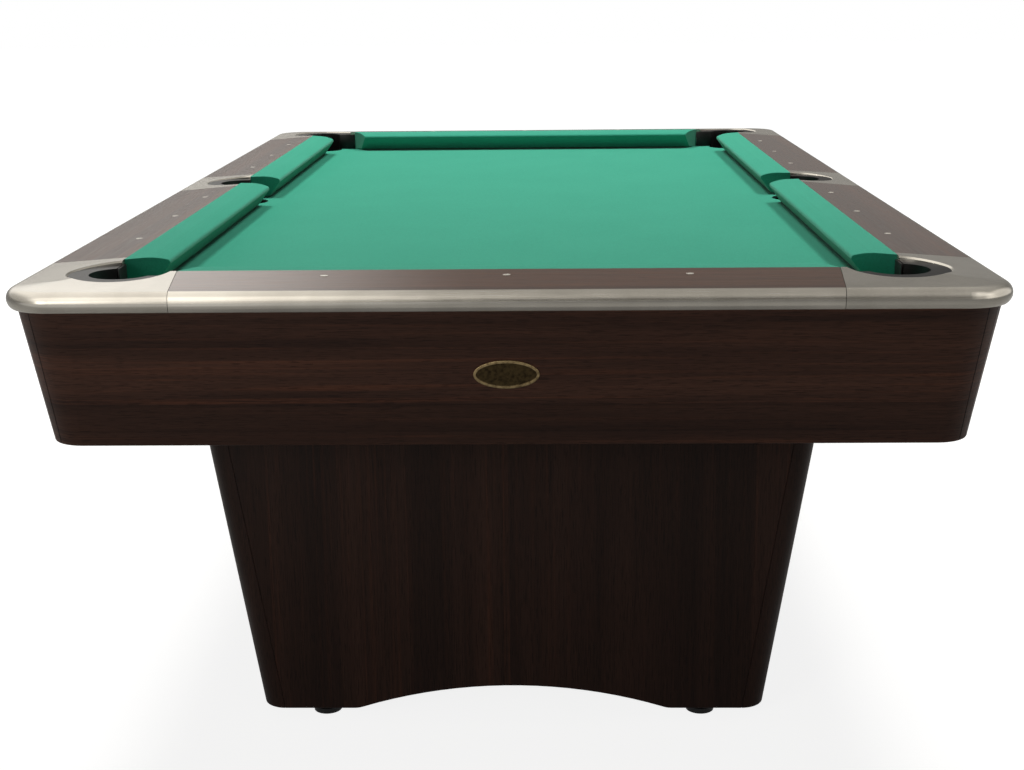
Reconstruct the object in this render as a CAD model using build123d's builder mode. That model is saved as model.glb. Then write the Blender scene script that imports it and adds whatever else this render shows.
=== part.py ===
from build123d import *
import math
import os

# Pool table for drop-pocket play, standing on two pedestals with levelling feet.
# The origin is on the floor under the middle of the table: X across, Y along the length, Z up.
# Sizes are millimetres. Pieces are modelled at the right and rear, then mirrored to their other places.

# Playing field and heights
field_width = 1120.0  # between the cushion noses across the table
field_length = 2240.0  # between the cushion noses along the table
bed_height = 750.0  # floor to the top of the bed cloth
rail_depth = 50.0  # bed cloth to the top of the rails, where their cloth ends
edge_depth = 40.0  # top of the rails to the underside of their metal edge

# Rails, measured outward from the cushion nose
rail_width = 202.0  # to the outermost line of the metal trim
trim_width = 15.0
trim_foot_inset = 6.0  # bottom edge of the trim, in from its outermost line
trim_bulge_height = 16.5  # outermost line of the trim, above its underside
rail_fall = 9.0  # rail top from the cloth edge down to the trim
cloth_band = 66.0  # cloth-covered top of the rail
apron_rebate = 40.0  # rail's outer edge that is cut back underneath and lies on the apron

# Cushions
rubber_depth = 45.0  # nose to the glued back face
nose_height = 38.0  # bed cloth to the nose
nose_radius = 6.0  # over the cloth
crown_start = 40.0  # from the nose to where the rounded top meets the level top
under_angle = 53.0  # slope of the underside behind the nose
under_gap = 3.0  # bed cloth to the cushion's underside
cloth_thickness = 1.0

# Pocket jaws: cushion ends, from the crossing of the nose lines or from the middle of the table
corner_tip = 83.0
corner_run = 38.0  # how far the cushion's back reaches past its tip
side_tip = 72.0
side_run = 14.0
facing_thickness = 3.0  # cloth-covered pad that closes each cushion end

# Moulded pockets, each a liner with a flange and a throat, and a ball cup under it
corner_pocket_offset = 47.0  # pocket axis outward from the nose lines
side_pocket_offset = 72.0
pocket_bore = 50.0  # radius
pocket_wall = 4.0
corner_flange = 31.0  # width of the flange around the bore
side_flange = 28.0
flange_thickness = 4.0
flange_recess = 7.0  # flange below the rail top
cup_depth = 160.0  # bed cloth to the floor of the cup
throat_drop = 3.0  # rim of the cup below the bed cloth
cup_gap = 0.3  # rim of the cup to the liner
flange_gap = 0.5

# Corner and side castings
casting_wall = 6.0
casting_lip = 3.0  # bevel of the edge round the pocket
corner_radius = 80.0  # outermost line round the corner
end_seam_inset = 45.0  # seam in the end rail, inside the side nose line
end_seam_slant = 15.0  # further inside at the outermost line
side_seam_inset = 65.0  # seam in the side rail, inside the end nose line
side_casting_inner = 108.0  # half length at the cloth edge
side_casting_outer = 124.0  # half length at the outermost line
seam_gap = 0.8

# Sights inlaid in the rails
diamonds_along = 8  # equal parts that the sights divide the field length into
sight_offset = 100.0  # from the cushion nose
sight_radius = 6.0
sight_depth = 2.0
sight_stand = 0.2
sight_gap = 0.1

# Slate bed in three pieces
slate_thickness = 25.0
slate_margin = 80.0  # slate beyond the cushion nose
slate_hole_gap = 1.0  # slate edge to the pocket throat

# Frame under the slate, half-lapped
beam_width = 40.0
beam_depth = 90.0
beam_spacing = 940.0  # between the long beams' middles
end_beam_inset = 50.0  # end cross beams, inside the end nose line
lap_gap = 0.3

# Apron
apron_height = 218.0
apron_thickness = 20.0
apron_inset = 8.0  # apron's top edge, in from the outermost line of the trim
apron_taper = 10.5
apron_radius = 96.0
apron_seam_angle = 55.0  # how far the end apron wraps round the corner
apron_seam_gap = 1.2
apron_edge = 3.0  # rounding of the bottom edge
bracket_thickness = 12.0
bracket_leg = 60.0  # straight part of each corner bracket
bracket_height = 110.0
bracket_drop = 50.0  # apron's top edge to the bracket

# Pedestals
pedestal_clearance = 22.0  # floor to the pedestal
pedestal_width = 863.0  # across the table, at the bottom
pedestal_lean = 8.9  # outward lean of the sides
pedestal_depth = 480.0  # along the table
pedestal_setback = 210.0  # outermost line of the trim to the pedestal's end face
pedestal_radius = 40.0
pedestal_top_thickness = 18.0
panel_thickness = 18.0
arch_width = 530.0
arch_height = 42.0
arch_round = 45.0
panel_edge = 2.0  # rounding of the end panels' bottom edges

# Levelling feet
foot_spacing = 650.0  # across the table
block_length = 70.0
block_width = 60.0
block_height = 60.0
pad_radius = 24.0
pad_height = 12.0
pad_chamfer = 3.0
stud_radius = 6.0
stud_length = 60.0  # above the pad
stud_gap = 0.4

# Places worked out from the sizes above
nose_x = field_width / 2
nose_y = field_length / 2
rail_height = bed_height + rail_depth
outer_x = nose_x + rail_width
outer_y = nose_y + rail_width
wood_edge = rail_width - trim_width
rail_edge_height = rail_height - rail_fall
edge_base = rail_height - edge_depth
nose_drop = rail_depth - nose_height  # level top down to the nose
crown_reach = crown_start - nose_radius
crown_radius = (crown_reach**2 + nose_drop**2 - nose_radius**2) / (2 * (nose_drop - nose_radius))
slate_top = bed_height - cloth_thickness
slate_bottom = slate_top - slate_thickness
slate_x = nose_x + slate_margin
slate_y = nose_y + slate_margin
slate_joint = 2 * slate_y / 3
throat_radius = pocket_bore + pocket_wall
slate_hole = throat_radius + slate_hole_gap
corner_pocket = (nose_x + corner_pocket_offset, nose_y + corner_pocket_offset)
side_pocket = (nose_x + side_pocket_offset, 0)
corner_opening = pocket_bore + corner_flange + flange_gap
side_opening = pocket_bore + side_flange + flange_gap
lip_level = rail_height - (rail_fall + casting_wall) / 2  # between the casting's top and its hollow
corner_x = outer_x - corner_radius
corner_y = outer_y - corner_radius
side_seam_y = nose_y - side_seam_inset
apron_x = outer_x - apron_inset
apron_y = outer_y - apron_inset
apron_slope = math.tan(math.radians(apron_taper))
beam_bottom = slate_bottom - beam_depth
cross_beam_places = (slate_joint / 2, nose_y - end_beam_inset)
pedestal_top = beam_bottom - pedestal_top_thickness
pedestal_height = pedestal_top - pedestal_clearance
pedestal_y = outer_y - pedestal_setback - pedestal_depth / 2
foot_inset = panel_thickness + block_width / 2
foot_rows = (pedestal_y + pedestal_depth / 2 - foot_inset, pedestal_y - pedestal_depth / 2 + foot_inset)
sight_step = field_length / diamonds_along

# Section planes: across the rear end rail and across the right side rail, with X outward from the nose
end_section = Plane(origin=(0, nose_y, 0), x_dir=(0, 1, 0), z_dir=(1, 0, 0))
side_section = Plane(origin=(nose_x, 0, 0), x_dir=(1, 0, 0), z_dir=(0, -1, 0))

ends = (("front", True), ("rear", False))
sides = (("left", True), ("right", False))


def rail_top(outward):
    """Height of the rail top at a distance outward from the cushion nose."""
    return rail_height - rail_fall * (outward - cloth_band) / (wood_edge - cloth_band)


def end_seam_x(outward):
    """Seam between the end rail and the corner casting, at a distance outward from the nose."""
    return nose_x - end_seam_inset - end_seam_slant * (outward - cloth_band) / (rail_width - cloth_band)


def side_seam(outward):
    """Seam between the side rail and the side casting, at a distance outward from the nose."""
    widening = side_casting_outer - side_casting_inner
    return side_casting_inner + widening * (outward - cloth_band) / (rail_width - cloth_band)


def outline(plane, points):
    """Face inside straight lines through the points."""
    with BuildSketch(plane) as face:
        with BuildLine():
            Polyline(*points, close=True)
        make_face()
    return face.sketch


def nose_arcs(skin):
    """Arcs of the rounded top and of the nose, a skin's thickness below the cloth's face."""
    nose = Vector(nose_radius, bed_height + nose_height)
    crown = Vector(crown_start, rail_height - crown_radius)
    radius = nose_radius - skin
    slope = math.radians(under_angle)
    shoulder = nose + (nose - crown).normalized() * radius
    tip = nose - Vector(radius, 0)
    under = nose - Vector(math.sin(slope), math.cos(slope)) * radius
    crest = crown + Vector(0, crown_radius - skin)
    halfway = (crest - crown).normalized() + (shoulder - crown).normalized()
    ThreePointArc(crest, crown + halfway.normalized() * (crown_radius - skin), shoulder)
    ThreePointArc(shoulder, tip, under)
    return crest, under


def cushion_foot(under, skin):
    """Foot of the sloping underside, which starts under the nose."""
    floor = bed_height + under_gap + skin
    return (under.X + (under.Y - floor) / math.tan(math.radians(under_angle)), floor)


def rubber_face(plane):
    """Section of the cushion rubber, glued against the rail at its back."""
    with BuildSketch(plane) as face:
        with BuildLine():
            crest, under = nose_arcs(cloth_thickness)
            foot = cushion_foot(under, cloth_thickness)
            Polyline(under, foot, (rubber_depth, foot[1]), (rubber_depth, crest.Y), crest)
        make_face()
    return face.sketch


def cloth_face(plane):
    """Section of the cloth stretched over the rubber, from the rail top round to the underside."""
    with BuildSketch(plane) as face:
        with BuildLine():
            crest, under = nose_arcs(0)
            inner_crest, inner_under = nose_arcs(cloth_thickness)
            foot = cushion_foot(under, 0)
            inner_foot = cushion_foot(inner_under, cloth_thickness)
            Polyline(under, foot, (rubber_depth, foot[1]), (rubber_depth, inner_foot[1]), inner_foot)
            Line(inner_foot, inner_under)
            Polyline(inner_crest, (cloth_band, inner_crest.Y), (cloth_band, rail_height), crest)
        make_face()
    return face.sketch


def facing_face(plane):
    """Section of the facings, which close the ends of the cushion and of the rail behind it."""
    with BuildSketch(plane) as face:
        with BuildLine():
            crest, under = nose_arcs(0)
            foot = cushion_foot(under, 0)
            Polyline(under, foot, (rubber_depth, foot[1]), (rubber_depth, bed_height))
            Polyline((rubber_depth, bed_height), (cloth_band, bed_height), (cloth_band, rail_height), crest)
        make_face()
    return face.sketch


def rail_face(plane):
    """Section of the rail: the core behind the rubber and the finished top outside the cloth."""
    points = (
        (rubber_depth, bed_height),
        (wood_edge - apron_rebate, bed_height),
        (wood_edge - apron_rebate, edge_base),
        (wood_edge, edge_base),
        (wood_edge, rail_edge_height),
        (cloth_band, rail_height),
        (cloth_band, rail_height - cloth_thickness),
        (rubber_depth, rail_height - cloth_thickness),
    )
    return outline(plane, points)


def edge_points():
    """Foot, bulge and brow of the rounded metal edge."""
    foot = (rail_width - trim_foot_inset, edge_base)
    bulge = (rail_width, edge_base + trim_bulge_height)
    brow = (wood_edge, rail_edge_height)
    return foot, bulge, brow


def trim_face(plane):
    """Section of the trim, against the rail's outer edge."""
    foot, bulge, brow = edge_points()
    with BuildSketch(plane) as face:
        with BuildLine():
            ThreePointArc(foot, bulge, brow)
            Polyline(brow, (wood_edge, edge_base), foot)
        make_face()
    return face.sketch


def edge_face(plane, start):
    """Section of a casting, from a distance outward from the nose to the same rounded edge."""
    foot, bulge, brow = edge_points()
    with BuildSketch(plane) as face:
        with BuildLine():
            ThreePointArc(foot, bulge, brow)
            Polyline(brow, (start, rail_top(start)), (start, edge_base), foot)
        make_face()
    return face.sketch


def hollow_face(plane, start):
    """Section of the space inside a casting, a wall's thickness below its top."""
    points = (
        (start, edge_base),
        (wood_edge, edge_base),
        (wood_edge, rail_edge_height - casting_wall),
        (start, rail_top(start) - casting_wall),
    )
    return outline(plane, points)


def lip_edges(piece, middle, opening):
    """Upper edges of a casting's round opening."""
    found = []
    for edge in piece.edges():
        point = edge @ 0.5
        on_wall = math.isclose(math.dist((point.X, point.Y), middle), opening, rel_tol=1e-4)
        if on_wall and point.Z > lip_level:
            found.append(edge)
    return found


def hand_in(piece, label):
    """Label a finished piece and write its file."""
    piece.part.label = label
    export_step(piece.part, f"parts/{label}.step")


def hand_in_mirrored(piece, label, left, front):
    """Write a right rear piece, mirrored to the left or the front where asked."""
    with BuildPart() as placed:
        add(piece.part)
        if left:
            mirror(about=Plane.YZ, mode=Mode.REPLACE)
        if front:
            mirror(about=Plane.XZ, mode=Mode.REPLACE)
    hand_in(placed, label)


os.makedirs("parts", exist_ok=True)

# Slate in three pieces, and the bed cloth over it, with the pockets cut out of the edges
pocket_places = [side_pocket, (-side_pocket[0], 0)]
for across in (1, -1):
    for along in (1, -1):
        pocket_places.append((across * corner_pocket[0], along * corner_pocket[1]))


def bed_plan(height):
    """Plan of the slate and its cloth, placed at a height."""
    with BuildSketch(Plane.XY.offset(height)) as plan:
        Rectangle(2 * slate_x, 2 * slate_y)
        with Locations(*pocket_places):
            Circle(slate_hole, mode=Mode.SUBTRACT)
    return plan.sketch


for name, shift in (("front", -slate_joint), ("middle", 0), ("rear", slate_joint)):
    with BuildPart() as slate:
        extrude(bed_plan(slate_bottom), amount=slate_thickness)
        with Locations((0, shift, slate_bottom)):
            Box(
                2 * slate_x,
                slate_joint,
                slate_thickness,
                align=(Align.CENTER, Align.CENTER, Align.MIN),
                mode=Mode.INTERSECT,
            )
    hand_in(slate, f"slate_{name}")

with BuildPart() as bed_cloth:
    extrude(bed_plan(slate_top), amount=cloth_thickness)
hand_in(bed_cloth, "bed_cloth")

# Frame: two long beams from end apron to end apron, and cross beams lapped over them
lap_height = beam_bottom + beam_depth / 2
inner_top_x = apron_x - apron_thickness - lap_gap - apron_slope * (edge_base - slate_bottom)
inner_top_y = apron_y - apron_thickness - lap_gap - apron_slope * (edge_base - slate_bottom)
beam_undercut = apron_slope * beam_depth
lap_size = beam_width + 2 * lap_gap

long_beam_side = (
    (-inner_top_y, slate_bottom),
    (inner_top_y, slate_bottom),
    (inner_top_y - beam_undercut, beam_bottom),
    (beam_undercut - inner_top_y, beam_bottom),
)
cross_beam_side = (
    (-inner_top_x, slate_bottom),
    (inner_top_x, slate_bottom),
    (inner_top_x - beam_undercut, beam_bottom),
    (beam_undercut - inner_top_x, beam_bottom),
)
cross_rows = [row * along for row in cross_beam_places for along in (1, -1)]
laps = [(across * beam_spacing / 2, row, lap_height) for across in (1, -1) for row in cross_rows]

with BuildPart() as long_beam:
    extrude(outline(Plane.YZ.offset(beam_spacing / 2), long_beam_side), amount=beam_width / 2, both=True)
    with Locations(*laps):
        Box(
            lap_size,
            lap_size,
            beam_depth,
            align=(Align.CENTER, Align.CENTER, Align.MIN),
            mode=Mode.SUBTRACT,
        )
for side, left in sides:
    hand_in_mirrored(long_beam, f"long_beam_{side}", left, False)

with BuildPart() as cross_beams:
    for row in cross_rows:
        extrude(outline(Plane.XZ.offset(-row), cross_beam_side), amount=beam_width / 2, both=True)
    with Locations(*laps):
        Box(
            lap_size,
            lap_size,
            beam_depth,
            align=(Align.CENTER, Align.CENTER, Align.MAX),
            mode=Mode.SUBTRACT,
        )
hand_in(cross_beams, "cross_beams")

# Apron: one tapered shell with rounded corners, cut into end and side boards at seams in the corners
with BuildPart() as apron_shell:
    with BuildSketch(Plane.XY.offset(edge_base)):
        RectangleRounded(2 * apron_x, 2 * apron_y, apron_radius)
    extrude(amount=-apron_height, taper=apron_taper)
    fillet(apron_shell.edges().group_by(Axis.Z)[0], apron_edge)
    with BuildSketch(Plane.XY.offset(edge_base)):
        RectangleRounded(
            2 * (apron_x - apron_thickness), 2 * (apron_y - apron_thickness), apron_radius - apron_thickness
        )
    extrude(amount=-apron_height, taper=apron_taper, mode=Mode.SUBTRACT)


def end_wedge(gap):
    """Plan of the rear end's share of the apron, widened by a gap at the seams."""
    angle = math.radians(apron_seam_angle)
    reach = 2 * apron_radius
    root_x = apron_x - apron_radius + gap * math.cos(angle)
    root_y = apron_y - apron_radius - gap * math.sin(angle)
    tip_x = root_x + reach * math.sin(angle)
    tip_y = root_y + reach * math.cos(angle)
    back_y = apron_y + reach
    half = ((root_x, root_y), (tip_x, tip_y), (tip_x, back_y))
    other_half = [(-x, y) for x, y in reversed(half)]
    return outline(Plane.XY.offset(edge_base - apron_height), (*half, *other_half))


with BuildPart() as apron_end:
    add(apron_shell.part)
    extrude(end_wedge(0), amount=apron_height, mode=Mode.INTERSECT)
for end, front in ends:
    hand_in_mirrored(apron_end, f"apron_{end}", False, front)

rear_share = end_wedge(apron_seam_gap)
front_share = mirror(rear_share, about=Plane.XZ)

with BuildPart() as apron_side:
    add(apron_shell.part)
    for end_share in (rear_share, front_share):
        extrude(end_share, amount=apron_height, mode=Mode.SUBTRACT)
    split(bisect_by=Plane.YZ, keep=Keep.TOP)
for side, left in sides:
    hand_in_mirrored(apron_side, f"apron_{side}", left, False)

# Corner brackets behind the apron's seams
bracket_inset = apron_thickness + bracket_thickness
with BuildPart() as brackets:
    with BuildSketch(Plane.XY.offset(edge_base)):
        RectangleRounded(
            2 * (apron_x - apron_thickness), 2 * (apron_y - apron_thickness), apron_radius - apron_thickness
        )
    extrude(amount=-apron_height, taper=apron_taper)
    with BuildSketch(Plane.XY.offset(edge_base)):
        RectangleRounded(
            2 * (apron_x - bracket_inset), 2 * (apron_y - bracket_inset), apron_radius - bracket_inset
        )
    extrude(amount=-apron_height, taper=apron_taper, mode=Mode.SUBTRACT)
    with BuildSketch(Plane.XY.offset(edge_base - bracket_drop)):
        with GridLocations(2 * apron_x, 2 * apron_y, 2, 2):
            Rectangle(2 * (apron_radius + bracket_leg), 2 * (apron_radius + bracket_leg))
    extrude(amount=-bracket_height, mode=Mode.INTERSECT)
hand_in(brackets, "apron_corner_brackets")

# Jaw planes that cut the cushion ends, facing the piece that stays
end_jaws = []
for across in (1, -1):
    tip = (across * (nose_x - corner_tip), nose_y, 0)
    end_jaws.append(Plane(origin=tip, z_dir=(-across * cloth_band, corner_run, 0)))
side_jaws = [
    Plane(origin=(nose_x, nose_y - corner_tip, 0), z_dir=(corner_run, -cloth_band, 0)),
    Plane(origin=(nose_x, side_tip, 0), z_dir=(side_run, cloth_band, 0)),
]

# Plans of the space that the castings take from the rails and the trim, with the seam gap
cloth_y = nose_y + cloth_band
cloth_x = nose_x + cloth_band
past = rail_width + trim_width
end_seam_plan = (
    (end_seam_x(cloth_band) - seam_gap, cloth_y),
    (nose_x + past, cloth_y),
    (nose_x + past, nose_y + past),
    (end_seam_x(past) - seam_gap, nose_y + past),
)
side_seam_plans = (
    (
        (cloth_x, side_seam_y - seam_gap),
        (nose_x + past, side_seam_y - seam_gap),
        (nose_x + past, nose_y + past),
        (cloth_x, nose_y + past),
    ),
    (
        (cloth_x, 0),
        (nose_x + past, 0),
        (nose_x + past, side_seam(past) + seam_gap),
        (cloth_x, side_seam(cloth_band) + seam_gap),
    ),
)
rail_base = Plane.XY.offset(bed_height)
sight_seat = rail_top(sight_offset) - sight_depth
end_seams = [outline(rail_base, end_seam_plan), outline(rail_base, [(-x, y) for x, y in end_seam_plan])]
side_seams = [outline(rail_base, plan) for plan in side_seam_plans]
end_sights = [(sight_step * step, nose_y + sight_offset, sight_seat) for step in (-1, 0, 1)]
side_sights = [(nose_x + sight_offset, sight_step * step, sight_seat) for step in (1, 2, 3)]


def cut_sight_seats(places):
    """Cut the round seats of the sights into the rail that is being built."""
    with Locations(*places):
        Cylinder(
            sight_radius + sight_gap,
            rail_depth,
            align=(Align.CENTER, Align.CENTER, Align.MIN),
            mode=Mode.SUBTRACT,
        )


# End rails with their cushions and trim
with BuildPart() as rail_end:
    extrude(rail_face(end_section), amount=nose_x, both=True)
    for jaw in end_jaws:
        split(bisect_by=jaw.offset(facing_thickness), keep=Keep.TOP)
    for seam in end_seams:
        extrude(seam, amount=rail_depth, mode=Mode.SUBTRACT)
    cut_sight_seats(end_sights)

with BuildPart() as cushion_end:
    extrude(rubber_face(end_section), amount=nose_x, both=True)
    for jaw in end_jaws:
        split(bisect_by=jaw.offset(facing_thickness), keep=Keep.TOP)

with BuildPart() as facing_blank_end:
    extrude(facing_face(end_section), amount=nose_x, both=True)
    for jaw in end_jaws:
        split(bisect_by=jaw, keep=Keep.TOP)

with BuildPart() as cloth_end:
    extrude(cloth_face(end_section), amount=nose_x, both=True)
    for jaw in end_jaws:
        split(bisect_by=jaw, keep=Keep.TOP)
    for jaw in end_jaws:
        back = jaw.offset(facing_thickness)
        add(split(facing_blank_end.part, bisect_by=back, keep=Keep.BOTTOM, mode=Mode.PRIVATE))

with BuildPart() as trim_end:
    extrude(trim_face(end_section), amount=nose_x, both=True)
    for seam in end_seams:
        extrude(seam, amount=rail_depth, mode=Mode.SUBTRACT)

for end, front in ends:
    hand_in_mirrored(rail_end, f"rail_{end}", False, front)
    hand_in_mirrored(cushion_end, f"cushion_{end}", False, front)

# Side rails, one each side of the side pocket, with their cushions and trim
with BuildPart() as rail_side:
    extrude(rail_face(side_section), amount=-nose_y)
    for jaw in side_jaws:
        split(bisect_by=jaw.offset(facing_thickness), keep=Keep.TOP)
    for seam in side_seams:
        extrude(seam, amount=rail_depth, mode=Mode.SUBTRACT)
    cut_sight_seats(side_sights)

with BuildPart() as cushion_side:
    extrude(rubber_face(side_section), amount=-nose_y)
    for jaw in side_jaws:
        split(bisect_by=jaw.offset(facing_thickness), keep=Keep.TOP)

with BuildPart() as facing_blank_side:
    extrude(facing_face(side_section), amount=-nose_y)
    for jaw in side_jaws:
        split(bisect_by=jaw, keep=Keep.TOP)

with BuildPart() as cloth_side:
    extrude(cloth_face(side_section), amount=-nose_y)
    for jaw in side_jaws:
        split(bisect_by=jaw, keep=Keep.TOP)
    for jaw in side_jaws:
        back = jaw.offset(facing_thickness)
        add(split(facing_blank_side.part, bisect_by=back, keep=Keep.BOTTOM, mode=Mode.PRIVATE))

with BuildPart() as trim_side:
    extrude(trim_face(side_section), amount=-nose_y)
    for seam in side_seams:
        extrude(seam, amount=rail_depth, mode=Mode.SUBTRACT)

for side, left in sides:
    for end, front in ends:
        hand_in_mirrored(rail_side, f"rail_{side}_{end}", left, front)
        hand_in_mirrored(cushion_side, f"cushion_{side}_{end}", left, front)

# Pieces that repeat as groups: cushion cloth, trim and sights
with BuildPart() as cushion_cloth:
    add(cloth_end.part)
    add(cloth_side.part)
    mirror(cloth_side.part, about=Plane.YZ)
    mirror(about=Plane.XZ)
hand_in(cushion_cloth, "cushion_cloth")

with BuildPart() as end_trims:
    add(trim_end.part)
    mirror(about=Plane.XZ)
hand_in(end_trims, "end_trims")

with BuildPart() as side_trims:
    add(trim_side.part)
    mirror(about=Plane.YZ)
    mirror(about=Plane.XZ)
hand_in(side_trims, "side_trims")

with BuildPart() as sights:
    for places in (end_sights, side_sights):
        with Locations(*places):
            Cylinder(sight_radius, sight_depth + sight_stand, align=(Align.CENTER, Align.CENTER, Align.MIN))
    mirror(about=Plane.XZ)
    with Locations(*[(-x, y, z) for x, y, z in side_sights]):
        Cylinder(sight_radius, sight_depth + sight_stand, align=(Align.CENTER, Align.CENTER, Align.MIN))
    with Locations(*[(-x, -y, z) for x, y, z in side_sights]):
        Cylinder(sight_radius, sight_depth + sight_stand, align=(Align.CENTER, Align.CENTER, Align.MIN))
hand_in(sights, "sights")

# Corner castings: the rounded edge turned round the corner, with a leg along each rail
corner_axis = Axis((corner_x, corner_y, 0), (0, 0, 1))
corner_start = rail_width - corner_radius
side_leg = Plane(origin=(nose_x, corner_y, 0), x_dir=(1, 0, 0), z_dir=(0, -1, 0))
end_leg = Plane(origin=(corner_x, nose_y, 0), x_dir=(0, 1, 0), z_dir=(1, 0, 0))
side_leg_length = corner_y - side_seam_y
end_leg_length = corner_x - end_seam_x(past)
end_hollow_length = corner_x - end_seam_x(cloth_band) - casting_wall
end_seam_plane = Plane(
    origin=(end_seam_x(cloth_band), cloth_y, 0), z_dir=(rail_width - cloth_band, end_seam_slant, 0)
)

corner_mitre = Plane(origin=(corner_x, corner_y, 0), z_dir=(1, -1, 0))

with BuildPart() as corner_side_leg:
    extrude(edge_face(side_leg, cloth_band), amount=side_leg_length)
    extrude(
        hollow_face(side_leg, cloth_band + casting_wall),
        amount=side_leg_length - casting_wall,
        mode=Mode.SUBTRACT,
    )
    split(bisect_by=corner_mitre, keep=Keep.TOP)

with BuildPart() as corner_end_leg:
    extrude(edge_face(end_leg, cloth_band), amount=-end_leg_length)
    extrude(hollow_face(end_leg, cloth_band + casting_wall), amount=-end_hollow_length, mode=Mode.SUBTRACT)
    split(bisect_by=corner_mitre, keep=Keep.BOTTOM)

with BuildPart() as corner_casting:
    revolve(edge_face(side_leg, corner_start), axis=corner_axis, revolution_arc=90)
    revolve(hollow_face(side_leg, corner_start), axis=corner_axis, revolution_arc=90, mode=Mode.SUBTRACT)
    add(corner_side_leg.part)
    add(corner_end_leg.part)
    split(bisect_by=end_seam_plane, keep=Keep.TOP)
    with Locations((*corner_pocket, bed_height)):
        Cylinder(
            corner_opening, rail_depth, align=(Align.CENTER, Align.CENTER, Align.MIN), mode=Mode.SUBTRACT
        )
    chamfer(lip_edges(corner_casting, corner_pocket, corner_opening), casting_lip)

# Side castings, with a prong each side of the pocket
side_widening = side_casting_outer - side_casting_inner
with BuildPart() as side_casting:
    extrude(edge_face(side_section, cloth_band), amount=side_seam(past), both=True)
    extrude(
        hollow_face(side_section, cloth_band + casting_wall),
        amount=side_casting_inner - casting_wall,
        both=True,
        mode=Mode.SUBTRACT,
    )
    for along in (1, -1):
        seam_point = (cloth_x, along * side_casting_inner, 0)
        split(
            bisect_by=Plane(origin=seam_point, z_dir=(side_widening, -along * (rail_width - cloth_band), 0)),
            keep=Keep.TOP,
        )
    with Locations((*side_pocket, bed_height)):
        Cylinder(side_opening, rail_depth, align=(Align.CENTER, Align.CENTER, Align.MIN), mode=Mode.SUBTRACT)
    chamfer(lip_edges(side_casting, side_pocket, side_opening), casting_lip)


def liner_face(plane, flange):
    """Half section of a pocket liner: throat and flange."""
    flange_top = rail_height - flange_recess
    flange_edge = pocket_bore + flange
    points = (
        (pocket_bore, mouth_base),
        (throat_radius, mouth_base),
        (throat_radius, flange_top - flange_thickness),
        (flange_edge, flange_top - flange_thickness),
        (flange_edge, flange_top),
        (pocket_bore, flange_top),
    )
    return outline(plane, points)


def cup_face(plane):
    """Half section of a ball cup: floor and wall."""
    cup_floor = bed_height - cup_depth
    points = (
        (0, cup_floor - pocket_wall),
        (throat_radius, cup_floor - pocket_wall),
        (throat_radius, mouth_base - cup_gap),
        (pocket_bore, mouth_base - cup_gap),
        (pocket_bore, cup_floor),
        (0, cup_floor),
    )
    return outline(plane, points)


# Moulded pockets: the liner is open towards the bed, and the cup hangs under it
mouth_base = bed_height - throat_drop
mouth_size = 2 * corner_opening
corner_pocket_plane = Plane(origin=(*corner_pocket, 0), x_dir=(1, 0, 0), z_dir=(0, -1, 0))
corner_pocket_axis = Axis((*corner_pocket, 0), (0, 0, 1))
side_pocket_plane = Plane(origin=(*side_pocket, 0), x_dir=(1, 0, 0), z_dir=(0, -1, 0))
side_pocket_axis = Axis((*side_pocket, 0), (0, 0, 1))

with BuildPart() as corner_boot:
    revolve(liner_face(corner_pocket_plane, corner_flange), axis=corner_pocket_axis)
    with Locations((cloth_x + flange_gap, cloth_y + flange_gap, mouth_base)):
        Box(
            mouth_size,
            mouth_size,
            rail_depth + throat_drop,
            align=(Align.MAX, Align.MAX, Align.MIN),
            mode=Mode.SUBTRACT,
        )
    revolve(cup_face(corner_pocket_plane), axis=corner_pocket_axis)

with BuildPart() as side_boot:
    revolve(liner_face(side_pocket_plane, side_flange), axis=side_pocket_axis)
    with Locations((cloth_x + flange_gap, 0, mouth_base)):
        Box(
            mouth_size,
            mouth_size,
            rail_depth + throat_drop,
            align=(Align.MAX, Align.CENTER, Align.MIN),
            mode=Mode.SUBTRACT,
        )
    revolve(cup_face(side_pocket_plane), axis=side_pocket_axis)

for side, left in sides:
    hand_in_mirrored(side_casting, f"side_casting_{side}", left, False)
    hand_in_mirrored(side_boot, f"side_pocket_{side}", left, False)
    for end, front in ends:
        hand_in_mirrored(corner_casting, f"corner_casting_{end}_{side}", left, front)
        hand_in_mirrored(corner_boot, f"corner_pocket_{end}_{side}", left, front)

# Pedestals: end panels with an arch at the floor, side panels that wrap the rounded corners, and a top
bottom_half = pedestal_width / 2
top_half = bottom_half + pedestal_height * math.tan(math.radians(pedestal_lean))
panel_bottom = bottom_half - pedestal_radius
panel_top = top_half - pedestal_radius
outer_panel_y = pedestal_y + pedestal_depth / 2
inner_panel_y = pedestal_y - pedestal_depth / 2


def panel_outline(plane, gap):
    """Face of a pedestal's end panel, widened by a gap at its sides."""
    points = (
        (-panel_bottom - gap, pedestal_clearance),
        (panel_bottom + gap, pedestal_clearance),
        (panel_top + gap, pedestal_top),
        (-panel_top - gap, pedestal_top),
    )
    return outline(plane, points)


with BuildPart() as pedestal_shell:
    for height, half in ((pedestal_clearance, bottom_half), (pedestal_top, top_half)):
        with BuildSketch(Plane.XY.offset(height)):
            with Locations((0, pedestal_y)):
                RectangleRounded(2 * half, pedestal_depth, pedestal_radius)
    loft(ruled=True)
    fillet(pedestal_shell.edges().group_by(Axis.Z)[0], panel_edge)
    for height, half in ((pedestal_clearance, bottom_half), (pedestal_top, top_half)):
        with BuildSketch(Plane.XY.offset(height)):
            with Locations((0, pedestal_y)):
                RectangleRounded(
                    2 * (half - panel_thickness),
                    pedestal_depth - 2 * panel_thickness,
                    pedestal_radius - panel_thickness,
                )
    loft(ruled=True, mode=Mode.SUBTRACT)

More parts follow.
